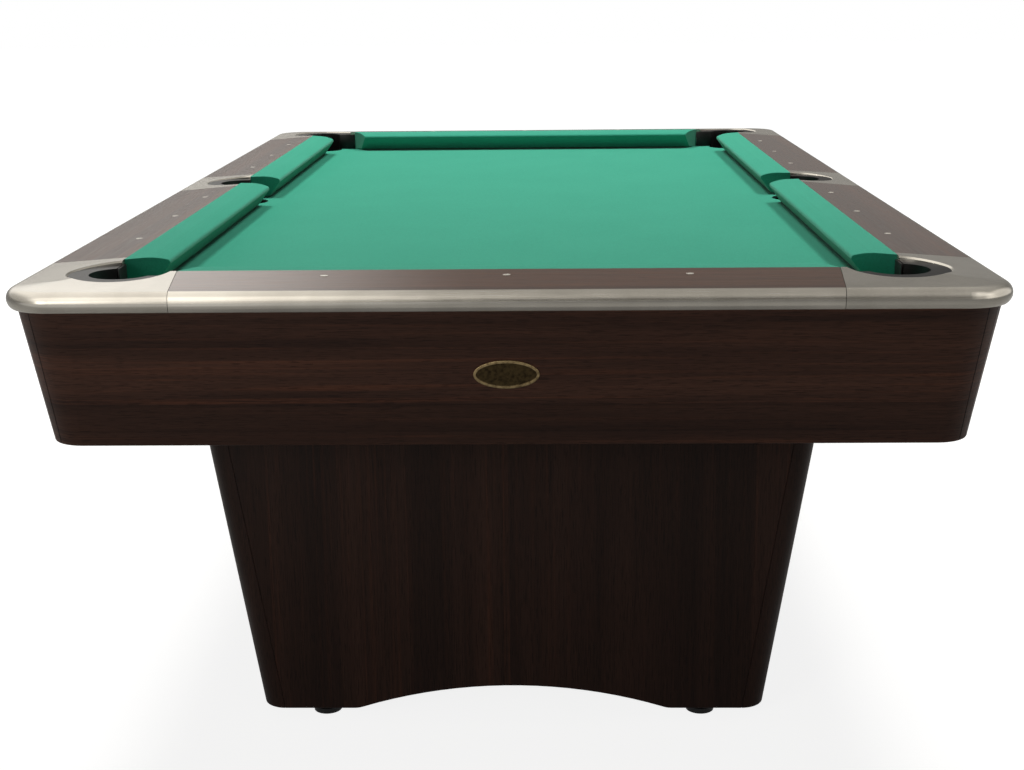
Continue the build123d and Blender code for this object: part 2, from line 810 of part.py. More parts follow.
with BuildPart() as pedestal_side:
    add(pedestal_shell.part)
    extrude(
        panel_outline(Plane.XZ.offset(-pedestal_y), seam_gap),
        amount=pedestal_depth / 2,
        both=True,
        mode=Mode.SUBTRACT,
    )
    split(bisect_by=Plane.YZ, keep=Keep.TOP)

arch_radius = (arch_width**2 / 4 + arch_height**2) / (2 * arch_height)
arch_top = pedestal_clearance + arch_height
with BuildSketch(Plane.XZ.offset(-outer_panel_y)) as arched_panel:
    with BuildLine():
        Polyline(
            (-panel_bottom, pedestal_clearance),
            (panel_bottom, pedestal_clearance),
            (panel_top, pedestal_top),
            (-panel_top, pedestal_top),
            close=True,
        )
    make_face()
    with Locations((0, arch_top - arch_radius)):
        Circle(arch_radius, mode=Mode.SUBTRACT)
    arch_ends = arched_panel.vertices().group_by(Axis.Y)[0].sort_by(Axis.X)[1:3]
    fillet(arch_ends, arch_round)

with BuildPart() as outer_panel:
    extrude(arched_panel.sketch, amount=panel_thickness)
    face_edges = outer_panel.edges().group_by(Axis.Y)[-1]
    fillet([edge for edge in face_edges if (edge @ 0.5).Z < arch_top + panel_edge], panel_edge)

with BuildPart() as inner_panel:
    mirror(outer_panel.part, about=Plane.XZ.offset(-pedestal_y))

with BuildPart() as pedestal_plate:
    with BuildSketch(Plane.XY.offset(pedestal_top)):
        with Locations((0, pedestal_y)):
            RectangleRounded(2 * top_half, pedestal_depth, pedestal_radius)
    extrude(amount=pedestal_top_thickness)

for end, front in ends:
    hand_in_mirrored(outer_panel, f"{end}_pedestal_outer_panel", False, front)
    hand_in_mirrored(inner_panel, f"{end}_pedestal_inner_panel", False, front)
    hand_in_mirrored(pedestal_plate, f"{end}_pedestal_top", False, front)
    for side, left in sides:
        hand_in_mirrored(pedestal_side, f"{end}_pedestal_{side}_side", left, front)

# Blocks inside the pedestals that the feet screw into
foot_places = [(across * foot_spacing / 2, row) for across in (1, -1) for row in foot_rows]
with BuildPart() as foot_blocks:
    with Locations(*[(x, y, pedestal_clearance) for x, y in foot_places]):
        Box(block_length, block_width, block_height, align=(Align.CENTER, Align.CENTER, Align.MIN))
        Cylinder(
            stud_radius + stud_gap,
            block_height,
            align=(Align.CENTER, Align.CENTER, Align.MIN),
            mode=Mode.SUBTRACT,
        )
    mirror(about=Plane.XZ)
hand_in(foot_blocks, "foot_blocks")

# Levelling feet, each a round pad on a threaded stud
for place, row in zip(("outer", "inner"), foot_rows):
    foot_plane = Plane(origin=(foot_spacing / 2, row, 0), x_dir=(1, 0, 0), z_dir=(0, -1, 0))
    foot_points = (
        (0, 0),
        (pad_radius, 0),
        (pad_radius, pad_height - pad_chamfer),
        (pad_radius - pad_chamfer, pad_height),
        (stud_radius, pad_height),
        (stud_radius, pad_height + stud_length),
        (0, pad_height + stud_length),
    )
    with BuildPart() as foot:
        revolve(outline(foot_plane, foot_points), axis=Axis((foot_spacing / 2, row, 0), (0, 0, 1)))
    for side, left in sides:
        for end, front in ends:
            hand_in_mirrored(foot, f"foot_{end}_{place}_{side}", left, front)
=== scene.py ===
"""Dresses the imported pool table.

It gets stretched cloth, dark laminate, satin metal and moulded pockets, and stands in a plain studio.
"""

import logging
import math
from dataclasses import dataclass, field
from enum import Enum
from typing import Any, Iterable

import bmesh
import bpy
from mathutils import Matrix, Vector


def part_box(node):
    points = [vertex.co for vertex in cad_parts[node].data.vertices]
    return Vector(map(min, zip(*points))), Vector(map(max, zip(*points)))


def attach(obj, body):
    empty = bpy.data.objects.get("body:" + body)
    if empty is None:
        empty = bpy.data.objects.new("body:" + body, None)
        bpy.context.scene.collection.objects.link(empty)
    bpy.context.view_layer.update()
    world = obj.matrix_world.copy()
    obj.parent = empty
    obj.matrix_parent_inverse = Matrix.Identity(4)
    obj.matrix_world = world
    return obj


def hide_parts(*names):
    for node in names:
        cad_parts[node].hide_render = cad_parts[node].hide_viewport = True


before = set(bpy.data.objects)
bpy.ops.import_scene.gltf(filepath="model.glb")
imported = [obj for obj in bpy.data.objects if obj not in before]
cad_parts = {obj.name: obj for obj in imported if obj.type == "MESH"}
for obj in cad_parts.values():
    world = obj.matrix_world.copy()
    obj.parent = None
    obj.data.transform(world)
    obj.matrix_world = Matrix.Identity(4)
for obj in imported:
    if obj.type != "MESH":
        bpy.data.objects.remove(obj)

log = logging.getLogger("pool_table")

MM = 0.001
UP = Vector((0, 0, 1))
TABLE = "table"
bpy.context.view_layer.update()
FIELD_HALF = Vector((0.560, 1.120))
BED_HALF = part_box("bed_cloth")[1]
RAIL_CLOTH_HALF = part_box("cushion_cloth")[1]
CORNER_POCKET = Vector((0.607, 1.167))
# Where a cushion's end meets a corner pocket, inward from the crossing of the nose lines.
CORNER_TIP, CORNER_RUN = 0.083, 0.038


def linear(code: str) -> tuple[float, float, float, float]:
    """Turn an sRGB colour into linear light.

    Args:
        code: Colour as #RRGGBB.

    Returns:
        Red, green, blue and alpha for a colour socket.
    """
    parts = [int(code[start : start + 2], 16) / 255 for start in (1, 3, 5)]
    red, green, blue = (
        part / 12.92 if part <= 0.04045 else ((part + 0.055) / 1.055) ** 2.4 for part in parts
    )
    return red, green, blue, 1.0


def add_node(
    tree: bpy.types.NodeTree, kind: str, inputs: dict[str | int, Any] | None = None, **settings: Any
) -> bpy.types.Node:
    """Add a node, with its settings, values and links.

    A Map Range node's inputs go by number: 0 is the value, 1 and 2 the range it comes from, and 3 and 4
    the range it goes to.

    Args:
        tree: Tree that gets the node.
        kind: Blender's name for the kind of node, without its ShaderNode prefix.
        inputs: Value, or output socket to link, for each input.
        settings: The node's own properties.

    Returns:
        The new node.
    """
    made = tree.nodes.new("ShaderNode" + kind)
    for name, value in settings.items():
        setattr(made, name, value)
    for key, value in (inputs or {}).items():
        if isinstance(value, bpy.types.NodeSocket):
            tree.links.new(value, made.inputs[key])
        else:
            made.inputs[key].default_value = value
    return made


class MixInput(Enum):
    """Sockets of a colour Mix node, which share their names with its other kinds."""

    FACTOR = 0
    A = 6
    B = 7
    RESULT = 2


class Grain(Enum):
    """The way the figure of a board, or the brushing of a metal, runs."""

    ACROSS = (True, False, False)
    ALONG = (False, True, False)
    LEVEL = (True, True, False)
    UPRIGHT = (False, False, True)
    EVEN = (False, False, False)

    def scale(self, length: float, width: float) -> tuple[float, ...]:
        """Mapping scale of a mark, in marks per metre.

        Args:
            length: Length of the mark along the grain, in millimetres.
            width: Width of the mark across the grain, in millimetres.

        Returns:
            Scale for X, Y and Z.
        """
        return tuple(1 / (length * MM) if along else 1 / (width * MM) for along in self.value)


class Finish:
    """A finish that builds its own material from nodes."""

    name: str

    def shade(self, tree: bpy.types.NodeTree) -> bpy.types.Node:
        """Add the finish's nodes and return its shader."""
        raise NotImplementedError

    def material(self) -> bpy.types.Material:
        """Build the material, or find it if it is already built.

        Returns:
            The material, named for the real one.
        """
        known = bpy.data.materials.get(self.name)
        if known:
            return known
        made = bpy.data.materials.new(self.name)
        made.use_nodes = True
        made.node_tree.nodes.clear()
        shader = self.shade(made.node_tree)
        add_node(made.node_tree, "OutputMaterial", {"Surface": shader.outputs[0]})
        return made


@dataclass(frozen=True)
class WalnutLaminate(Finish):
    """Dark walnut laminate in glued strips: a nearly black ground with redder streaks and open pores."""

    name: str
    grain: Grain
    strip_axis: str
    strip_mm: float
    ground: str = "#3B2720"
    figure: str = "#573B30"
    streak: str = "#83503A"
    roughness: float = 0.42
    specular: float = 0.1
    coat: float = 0.08
    coat_roughness: float = 0.22

    def shade(self, tree: bpy.types.NodeTree) -> bpy.types.Node:
        """Add strips, bands, streaks, fibres and pores, and return the shader."""
        place = add_node(tree, "TexCoord").outputs["Object"]
        # Length and width of each mark in millimetres, and the detail of its noise.
        marks = {"band": (1400, 42, 2), "streak": (650, 7, 4), "fibre": (90, 1.5, 2), "pore": (22, 0.9, 0)}
        noise = {}
        for mark, (length, width, detail) in marks.items():
            spot = add_node(tree, "Mapping", {"Vector": place, "Scale": self.grain.scale(length, width)})
            noise[mark] = add_node(
                tree,
                "TexNoise",
                {
                    "Vector": spot.outputs[0],
                    "Scale": 1,
                    "Detail": detail,
                    "Roughness": 0.55,
                    "Distortion": 0.2,
                },
            ).outputs["Fac"]
        axes = add_node(tree, "SeparateXYZ", {"Vector": place})
        strip = add_node(
            tree, "Math", {0: axes.outputs[self.strip_axis], 1: self.strip_mm * MM}, operation="SNAP"
        )
        tone = add_node(
            tree, "TexWhiteNoise", {"W": strip.outputs[0]}, noise_dimensions="1D"
        ).outputs["Value"]
        banded = add_node(tree, "MapRange", {0: noise["band"], 1: 0.34, 2: 0.66}).outputs[0]
        ground = add_node(
            tree,
            "Mix",
            {
                MixInput.FACTOR.value: banded,
                MixInput.A.value: linear(self.ground),
                MixInput.B.value: linear(self.figure),
            },
            data_type="RGBA",
        ).outputs[MixInput.RESULT.value]
        streaked = add_node(tree, "MapRange", {0: noise["streak"], 1: 0.52, 2: 0.74, 4: 0.55}).outputs[0]
        warm_strip = add_node(tree, "MapRange", {0: tone, 1: 0.45, 2: 1.0, 3: 0.25, 4: 1.1}).outputs[0]
        warmth = add_node(tree, "Math", {0: streaked, 1: warm_strip}, operation="MULTIPLY").outputs[0]
        warm = add_node(
            tree,
            "Mix",
            {MixInput.FACTOR.value: warmth, MixInput.A.value: ground, MixInput.B.value: linear(self.streak)},
            data_type="RGBA",
        ).outputs[MixInput.RESULT.value]
        fibres = add_node(tree, "MapRange", {0: noise["fibre"], 1: 0.3, 2: 0.7, 3: 0.8, 4: 1.15}).outputs[0]
        strips = add_node(tree, "MapRange", {0: tone, 3: 0.78, 4: 1.28}).outputs[0]
        pores = add_node(tree, "MapRange", {0: noise["pore"], 1: 0.6, 2: 0.68, 3: 1.0, 4: 0.55}).outputs[0]
        shade = add_node(tree, "Math", {0: fibres, 1: strips}, operation="MULTIPLY").outputs[0]
        shade = add_node(tree, "Math", {0: shade, 1: pores}, operation="MULTIPLY").outputs[0]
        colour = add_node(tree, "VectorMath", {0: warm, "Scale": shade}, operation="SCALE").outputs[0]
        dull = add_node(
            tree,
            "MapRange",
            {0: noise["fibre"], 1: 0.3, 2: 0.7, 3: self.roughness - 0.05, 4: self.roughness + 0.07},
        ).outputs[0]
        relief = add_node(
            tree, "Bump", {"Height": pores, "Strength": 0.35, "Distance": 0.12 * MM}
        ).outputs[0]
        return add_node(
            tree,
            "BsdfPrincipled",
            {
                "Base Color": colour,
                "Roughness": dull,
                "Normal": relief,
                "Specular IOR Level": self.specular,
                "Coat Weight": self.coat,
                "Coat Roughness": self.coat_roughness,
            },
        )


@dataclass(frozen=True)
class WorstedCloth(Finish):
    """Worsted billiard cloth, napped wool: an even green with a soft sheen and a fine plain weave."""

    name: str = "Worsted billiard cloth"
    dye: str = "#38977F"
    worn: str = "#3A9981"
    # The real thread spacing is 0.4 mm, too fine for the render, so the weave is drawn three times as coarse.
    thread_mm: float = 1.2
    cloud_mm: float = 160
    fuzz_mm: float = 2.6

    def shade(self, tree: bpy.types.NodeTree) -> bpy.types.Node:
        """Add the nap's clouding and the weave, and return the shader."""
        place = add_node(tree, "TexCoord").outputs["Object"]
        cloud = add_node(
            tree, "TexNoise", {"Vector": place, "Scale": 1 / (self.cloud_mm * MM), "Detail": 3}
        ).outputs["Fac"]
        fuzz = add_node(
            tree, "TexNoise", {"Vector": place, "Scale": 1 / (self.fuzz_mm * MM), "Detail": 2}
        ).outputs["Fac"]
        # A wave's bands are a twentieth of a full turn apart at a scale of 1.
        wave_scale = math.tau / 20 / (self.thread_mm * MM)
        threads = None
        for direction in "XYZ":
            wave = add_node(
                tree,
                "TexWave",
                {"Vector": place, "Scale": wave_scale, "Distortion": 0.6, "Detail": 1},
                bands_direction=direction,
            ).outputs["Fac"]
            if threads is None:
                threads = wave
            else:
                threads = add_node(tree, "Math", {0: threads, 1: wave}, operation="ADD").outputs[0]
        worn = add_node(tree, "MapRange", {0: cloud, 1: 0.35, 2: 0.65}).outputs[0]
        green = add_node(
            tree,
            "Mix",
            {
                MixInput.FACTOR.value: worn,
                MixInput.A.value: linear(self.dye),
                MixInput.B.value: linear(self.worn),
            },
            data_type="RGBA",
        ).outputs[MixInput.RESULT.value]
        shaded = add_node(tree, "MapRange", {0: fuzz, 1: 0.3, 2: 0.7, 3: 0.9, 4: 1.08}).outputs[0]
        woven = add_node(tree, "MapRange", {0: threads, 2: 3.0, 3: 0.92, 4: 1.07}).outputs[0]
        shade = add_node(tree, "Math", {0: shaded, 1: woven}, operation="MULTIPLY").outputs[0]
        colour = add_node(tree, "VectorMath", {0: green, "Scale": shade}, operation="SCALE").outputs[0]
        relief = add_node(
            tree, "Bump", {"Height": threads, "Strength": 0.25, "Distance": 0.15 * MM}
        ).outputs[0]
        return add_node(
            tree,
            "BsdfPrincipled",
            {
                "Base Color": colour,
                "Roughness": 0.92,
                "Normal": relief,
                "Specular IOR Level": 0.05,
                "Sheen Weight": 0.14,
                "Sheen Roughness": 0.5,
            },
        )


@dataclass(frozen=True)
class SatinNickel(Finish):
    """Satin nickel plate over a casting or an extrusion: soft wide reflections with a fine brushed grain."""

    name: str
    grain: Grain
    plate: str = "#BDB8AE"
    shadow: str = "#B2ADA3"
    roughness: float = 0.2
    # A blasted face scatters part of the light, and the rest of it is mirrored.
    metallic: float = 1.0
    brush_mm: tuple[float, float] = (55, 0.6)
    cloud_mm: float = 70

    def shade(self, tree: bpy.types.NodeTree) -> bpy.types.Node:
        """Add the brushing and the plate's faint clouding, and return the shader."""
        place = add_node(tree, "TexCoord").outputs["Object"]
        spot = add_node(tree, "Mapping", {"Vector": place, "Scale": self.grain.scale(*self.brush_mm)})
        brushed = add_node(
            tree, "TexNoise", {"Vector": spot.outputs[0], "Scale": 1, "Detail": 3}
        ).outputs["Fac"]
        cloud = add_node(
            tree, "TexNoise", {"Vector": place, "Scale": 1 / (self.cloud_mm * MM), "Detail": 2}
        ).outputs["Fac"]
        clouded = add_node(tree, "MapRange", {0: cloud, 1: 0.35, 2: 0.65}).outputs[0]
        colour = add_node(
            tree,
            "Mix",
            {
                MixInput.FACTOR.value: clouded,
                MixInput.A.value: linear(self.plate),
                MixInput.B.value: linear(self.shadow),
            },
            data_type="RGBA",
        ).outputs[MixInput.RESULT.value]
        dull = add_node(
            tree,
            "MapRange",
            {0: brushed, 1: 0.3, 2: 0.7, 3: self.roughness - 0.06, 4: self.roughness + 0.08},
        ).outputs[0]
        relief = add_node(
            tree, "Bump", {"Height": brushed, "Strength": 0.06, "Distance": 0.05 * MM}
        ).outputs[0]
        return add_node(
            tree,
            "BsdfPrincipled",
            {"Base Color": colour, "Metallic": self.metallic, "Roughness": dull, "Normal": relief},
        )


@dataclass(frozen=True)
class Moulded(Finish):
    """A moulded, sawn or honed body with a fine even grit: two close tones and a slight relief."""

    name: str
    dark: str
    light: str
    grit_mm: float
    roughness: float
    specular: float = 0.5
    relief: float = 0.2
    coat: float = 0.0

    def shade(self, tree: bpy.types.NodeTree) -> bpy.types.Node:
        """Add the grit and a broader clouding, and return the shader."""
        place = add_node(tree, "TexCoord").outputs["Object"]
        grit_scale = 1 / (self.grit_mm * MM)
        grit = add_node(tree, "TexNoise", {"Vector": place, "Scale": grit_scale, "Detail": 2}).outputs["Fac"]
        # The clouding is twenty times as broad as the grit.
        cloud = add_node(
            tree, "TexNoise", {"Vector": place, "Scale": grit_scale / 20, "Detail": 3}
        ).outputs["Fac"]
        both = add_node(tree, "Math", {0: grit, 1: cloud}, operation="ADD").outputs[0]
        blend = add_node(tree, "MapRange", {0: both, 1: 0.7, 2: 1.3}).outputs[0]
        colour = add_node(
            tree,
            "Mix",
            {
                MixInput.FACTOR.value: blend,
                MixInput.A.value: linear(self.dark),
                MixInput.B.value: linear(self.light),
            },
            data_type="RGBA",
        ).outputs[MixInput.RESULT.value]
        dull = add_node(
            tree,
            "MapRange",
            {0: grit, 1: 0.3, 2: 0.7, 3: self.roughness - 0.05, 4: self.roughness + 0.06},
        ).outputs[0]
        relief = add_node(
            tree, "Bump", {"Height": grit, "Strength": self.relief, "Distance": 0.1 * MM}
        ).outputs[0]
        return add_node(
            tree,
            "BsdfPrincipled",
            {
                "Base Color": colour,
                "Roughness": dull,
                "Normal": relief,
                "Specular IOR Level": self.specular,
                "Coat Weight": self.coat,
            },
        )


@dataclass(frozen=True)
class AgedBrass(Finish):
    """Aged brass: rubbed bright on what stands proud, with a brown patina elsewhere."""

    name: str = "Aged brass"
    rubbed: str = "#A08C66"
    patina: str = "#6B5A40"
    roughness: float = 0.34
    patch_mm: float = 6

    def shade(self, tree: bpy.types.NodeTree) -> bpy.types.Node:
        """Add the patina's patches and return the shader."""
        place = add_node(tree, "TexCoord").outputs["Object"]
        patch = add_node(
            tree, "TexNoise", {"Vector": place, "Scale": 1 / (self.patch_mm * MM), "Detail": 4}
        ).outputs["Fac"]
        aged = add_node(tree, "MapRange", {0: patch, 1: 0.4, 2: 0.7}).outputs[0]
        colour = add_node(
            tree,
            "Mix",
            {
                MixInput.FACTOR.value: aged,
                MixInput.A.value: linear(self.rubbed),
                MixInput.B.value: linear(self.patina),
            },
            data_type="RGBA",
        ).outputs[MixInput.RESULT.value]
        dull = add_node(
            tree, "MapRange", {0: aged, 3: self.roughness, 4: self.roughness + 0.2}
        ).outputs[0]
        relief = add_node(
            tree, "Bump", {"Height": patch, "Strength": 0.15, "Distance": 0.1 * MM}
        ).outputs[0]
        return add_node(
            tree,
            "BsdfPrincipled",
            {"Base Color": colour, "Metallic": 1.0, "Roughness": dull, "Normal": relief},
        )


def dress(nodes: Iterable[str], finish: bpy.types.Material) -> None:
    """Give CAD nodes a finish in place of their plain one.

    Args:
        nodes: Names of the nodes.
        finish: Material that they get.
    """
    for name in nodes:
        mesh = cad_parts[name].data
        mesh.materials.clear()
        mesh.materials.append(finish)
        log.info("dressed %s in %s", name, finish.name)


def make_piece(
    name: str, shape: bmesh.types.BMesh, finishes: list[bpy.types.Material], sharp_deg: float = 35
) -> bpy.types.Object:
    """Turn a finished shape into a piece that rides on the table.

    Args:
        name: Name of the piece.
        shape: Its mesh, which is freed.
        finishes: Its materials, in the order that its faces name them.
        sharp_deg: Edges that turn by more than this stay sharp.

    Returns:
        The piece.
    """
    mesh = bpy.data.meshes.new(name)
    shape.to_mesh(mesh)
    shape.free()
    for finish in finishes:
        mesh.materials.append(finish)
    mesh.shade_smooth()
    mesh.set_sharp_from_angle(angle=math.radians(sharp_deg))
    piece = bpy.data.objects.new(name, mesh)
    bpy.context.scene.collection.objects.link(piece)
    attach(piece, TABLE)
    log.info("built %s", name)
    return piece


def weigh_normals(piece: bpy.types.Object) -> None:
    """Keep a piece's large flat faces flat in the light, next to its rolled edges."""
    weighed = piece.modifiers.new("flat faces", "WEIGHTED_NORMAL")
    weighed.keep_sharp = True


@dataclass
class Bed:
    """Slate in three pieces, and the cloth stretched over it and tucked into the pocket cut-outs."""

    cloth: bpy.types.Material
    half_width: float = BED_HALF.x
    half_length: float = BED_HALF.y
    top: float = BED_HALF.z
    corner_pocket: Vector = field(default_factory=CORNER_POCKET.copy)
    side_pocket: float = 0.632
    # The cloth's wall stands between the slate's cut-out and the pocket.
    tuck_radius: float = 0.0544
    tuck_depth: float = 0.0026
    roll: float = 0.001
    thickness: float = 0.0009
    arc_steps: int = 32
    slates: tuple[str, ...] = ("slate_front", "slate_middle", "slate_rear")

    def notches(self) -> list[tuple[Vector, Vector, Vector]]:
        """Work out where the cut-outs meet the cloth's edges.

        Returns:
            Middle, first and last point of each cut-out's arc, anticlockwise round the cloth.
        """
        wide, long, top = self.half_width, self.half_length, self.top
        x, y = self.corner_pocket
        corner = math.sqrt(self.tuck_radius**2 - (wide - x) ** 2)
        side = math.sqrt(self.tuck_radius**2 - (wide - self.side_pocket) ** 2)
        right = [
            ((self.side_pocket, 0), (wide, -side), (wide, side)),
            ((x, y), (wide, y - corner), (x - corner, long)),
            ((-x, y), (corner - x, long), (-wide, y - corner)),
        ]
        left = [[(-px, -py) for px, py in arc] for arc in right]
        return [tuple(Vector((*point, top)) for point in arc) for arc in [*right, *left]]

    def build(self) -> bpy.types.Object:
        """Build the cloth: its outline, then the rolled edge at each cut-out.

        Returns:
            The cloth.
        """
        shape = bmesh.new()
        rim: list[bmesh.types.BMVert] = []
        arcs: list[list[bmesh.types.BMVert]] = []
        for middle, first, last in self.notches():
            start, end = first - middle, last - middle
            sweep = (math.atan2(start.y, start.x) - math.atan2(end.y, end.x)) % math.tau
            known = len(shape.verts)
            corner = shape.verts.new(first)
            bmesh.ops.spin(
                shape,
                geom=[corner],
                cent=middle,
                axis=-UP,
                angle=sweep,
                steps=self.arc_steps,
                use_merge=False,
            )
            shape.verts.ensure_lookup_table()
            arcs.append(shape.verts[known:])
            rim.extend(arcs[-1])
        shape.faces.new(rim)
        notch_edges = [
            edge for edge in shape.edges if any(all(vert in arc for vert in edge.verts) for arc in arcs)
        ]
        walls = bmesh.ops.extrude_edge_only(shape, edges=notch_edges)["geom"]
        lower = [part for part in walls if isinstance(part, bmesh.types.BMVert)]
        bmesh.ops.translate(shape, verts=lower, vec=-UP * self.tuck_depth)
        bmesh.ops.recalc_face_normals(shape, faces=shape.faces)
        bmesh.ops.bevel(
            shape,
            geom=notch_edges,
            offset=self.roll,
            affect="EDGES",
            segments=3,
            profile=0.5,
            material=-1,
        )
        piece = make_piece("bed_cloth_stretched", shape, [self.cloth])
        cover = piece.modifiers.new("thickness", "SOLIDIFY")
        cover.thickness = self.thickness
        cover.offset = -1
        weigh_normals(piece)
        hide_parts("bed_cloth")
        return piece

    def dress(self) -> None:
        """Give the slate its honed grey face."""
        # Honed slate: a dark blue-grey stone, matt, with faint clouding.
        slate = Moulded("Honed slate", "#3A3F43", "#4B5053", grit_mm=1.6, roughness=0.7, specular=0.3)
        dress(self.slates, slate.material())


@dataclass(frozen=True)
class Jaw:
    """A cushion end: where its nose stops along the rail, how far its back runs on, and the way it faces."""

    tip: float
    run: float
    way: int


@dataclass(frozen=True)
class CushionRun:
    """One cushion: its name, the directions out from the field and along the rail, and its two ends."""

    label: str
    outward: Vector
    along: Vector
    nose: float
    jaws: tuple[Jaw, Jaw]


Cut = tuple[Vector, Vector]


@dataclass
class Cushions:
    """Six rubber cushions under tight cloth, with a cloth-covered facing on each end."""

    cloth: bpy.types.Material
    bed: float = BED_HALF.z
    rail_top: float = RAIL_CLOTH_HALF.z
    cloth_band: float = RAIL_CLOTH_HALF.x - FIELD_HALF.x
    rubber_depth: float = 0.045
    nose_height: float = 0.038
    nose_radius: float = 0.006
    crown_start: float = 0.040
    under_angle: float = math.radians(53)
    under_gap: float = 0.003
    facing: float = 0.003
    fold: float = 0.0012
    cloth_thickness: float = 0.001
    crown_steps: int = 8
    nose_steps: int = 10
    half_width: float = FIELD_HALF.x
    half_length: float = FIELD_HALF.y
    corner_tip: float = CORNER_TIP
    corner_run: float = CORNER_RUN
    side_tip: float = 0.072
    side_run: float = 0.014

    def runs(self) -> list[CushionRun]:
        """List the six cushions.

        Returns:
            Two across the ends and four along the sides.
        """
        across, along = Vector((1, 0, 0)), Vector((0, 1, 0))
        reach = self.half_width - self.corner_tip
        end_jaws = (Jaw(-reach, self.corner_run, -1), Jaw(reach, self.corner_run, 1))
        far = self.half_length - self.corner_tip
        side_jaws = (Jaw(self.side_tip, self.side_run, -1), Jaw(far, self.corner_run, 1))
        found = []
        for end, way in (("front", -1), ("rear", 1)):
            found.append(CushionRun(end, way * along, across, self.half_length, end_jaws))
            for side, hand in (("left", -1), ("right", 1)):
                label = f"{side}_{end}"
                found.append(CushionRun(label, hand * across, way * along, self.half_width, side_jaws))
        return found

    def section(self, full: bool) -> list[tuple[float, float]]:
        """List the corners of the section behind the nose.

        Args:
            full: True for a facing, which also covers the end of the rail.

        Returns:
            Distance out from the nose, and height, of each corner from the nose's underside round to its top.
        """
        middle = self.bed + self.nose_height
        under_out = self.nose_radius * (1 - math.sin(self.under_angle))
        under_height = middle - self.nose_radius * math.cos(self.under_angle)
        floor = self.bed + self.under_gap
        foot = (under_out + (under_height - floor) / math.tan(self.under_angle), floor)
        corners = [foot, (self.rubber_depth, floor)]
        if full:
            corners.append((self.rubber_depth, self.bed))
            corners.append((self.cloth_band, self.bed))
        else:
            corners.append((self.rubber_depth, self.rail_top - self.cloth_thickness))
            corners.append((self.cloth_band, self.rail_top - self.cloth_thickness))
        corners.append((self.cloth_band, self.rail_top))
        return corners

    def cut(self, run: CushionRun, jaw: Jaw, inset: float) -> Cut:
        """Find the plane that ends a cushion.

        Args:
            run: The cushion.
            jaw: Its end.
            inset: Distance in from the end.

        Returns:
            A point of the plane, and the direction away from the cushion.
        """
        away = (jaw.way * run.along * self.cloth_band - run.outward * jaw.run).normalized()
        tip = run.outward * run.nose + run.along * jaw.tip
        return tip - away * inset, away

    def length(self, run: CushionRun, full: bool, cuts: list[Cut], roll: float) -> bmesh.types.BMesh:
        """Make a length of section between two planes.

        Args:
            run: The cushion that it belongs to.
            full: True for a facing's section.
            cuts: The planes, each with the direction of what goes.
            roll: Rounding of the rim of the first plane, or 0.

        Returns:
            The closed length.
        """
        # Length past both jaws, which the cuts take off.
        spare = 0.1
        start = run.jaws[0].tip - spare

        def place(out: float, height: float) -> Vector:
            """Point of the section where the length starts."""
            return run.outward * (run.nose + out) + run.along * start + UP * height

        shape = bmesh.new()
        middle = self.bed + self.nose_height
        reach, drop = self.crown_start - self.nose_radius, self.rail_top - middle
        crown_radius = (reach**2 + drop**2 - self.nose_radius**2) / (2 * (drop - self.nose_radius))
        crown_turn = math.asin(reach / (crown_radius - self.nose_radius))
        nose_turn = math.pi - self.under_angle - crown_turn
        shape.verts.new(place(self.crown_start, self.rail_top))
        for out, height, turn, steps in (
            (self.crown_start, self.rail_top - crown_radius, crown_turn, self.crown_steps),
            (self.nose_radius, middle, nose_turn, self.nose_steps),
        ):
            shape.verts.ensure_lookup_table()
            bmesh.ops.spin(
                shape,
                geom=[shape.verts[-1]],
                cent=place(out, height),
                axis=run.outward.cross(UP),
                angle=turn,
                steps=steps,
                use_merge=False,
            )
        for corner in self.section(full):
            shape.verts.new(place(*corner))
        face = shape.faces.new(list(shape.verts))
        grown = bmesh.ops.extrude_face_region(shape, geom=[face])["geom"]
        ahead = [part for part in grown if isinstance(part, bmesh.types.BMVert)]
        bmesh.ops.translate(shape, verts=ahead, vec=run.along * (run.jaws[1].tip - start + spare))
        rims = []
        for point, away in cuts:
            parts = [*shape.verts, *shape.edges, *shape.faces]
            found = bmesh.ops.bisect_plane(
                shape, geom=parts, plane_co=point, plane_no=away, clear_outer=True, dist=1e-7
            )["geom_cut"]
            rim = [part for part in found if isinstance(part, bmesh.types.BMEdge)]
            bmesh.ops.edgeloop_fill(shape, edges=rim)
            rims.append(rim)
        bmesh.ops.recalc_face_normals(shape, faces=shape.faces)
        if roll:
            bmesh.ops.bevel(
                shape, geom=rims[0], offset=roll, affect="EDGES", segments=3, profile=0.5, material=-1
            )
        return shape

    def build(self) -> list[bpy.types.Object]:
        """Build the six covered cushions.

        Returns:
            The cushions.
        """
        return [self.build_one(run) for run in self.runs()]

    def build_one(self, run: CushionRun) -> bpy.types.Object:
        """Build one covered cushion.

        Args:
            run: The cushion.

        Returns:
            The cushion between its two facings, as one piece.
        """
        backs = [self.cut(run, jaw, self.facing) for jaw in run.jaws]
        lengths = [self.length(run, False, backs, 0)]
        for jaw, (point, away) in zip(run.jaws, backs):
            lengths.append(self.length(run, True, [self.cut(run, jaw, 0), (point, -away)], self.fold))
        shape = bmesh.new()
        for length in lengths:
            mesh = bpy.data.meshes.new("length")
            length.to_mesh(mesh)
            length.free()
            shape.from_mesh(mesh)
            bpy.data.meshes.remove(mesh)
        piece = make_piece(f"covered_cushion_{run.label}", shape, [self.cloth])
        weigh_normals(piece)
        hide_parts(f"cushion_{run.label}", "cushion_cloth")
        return piece


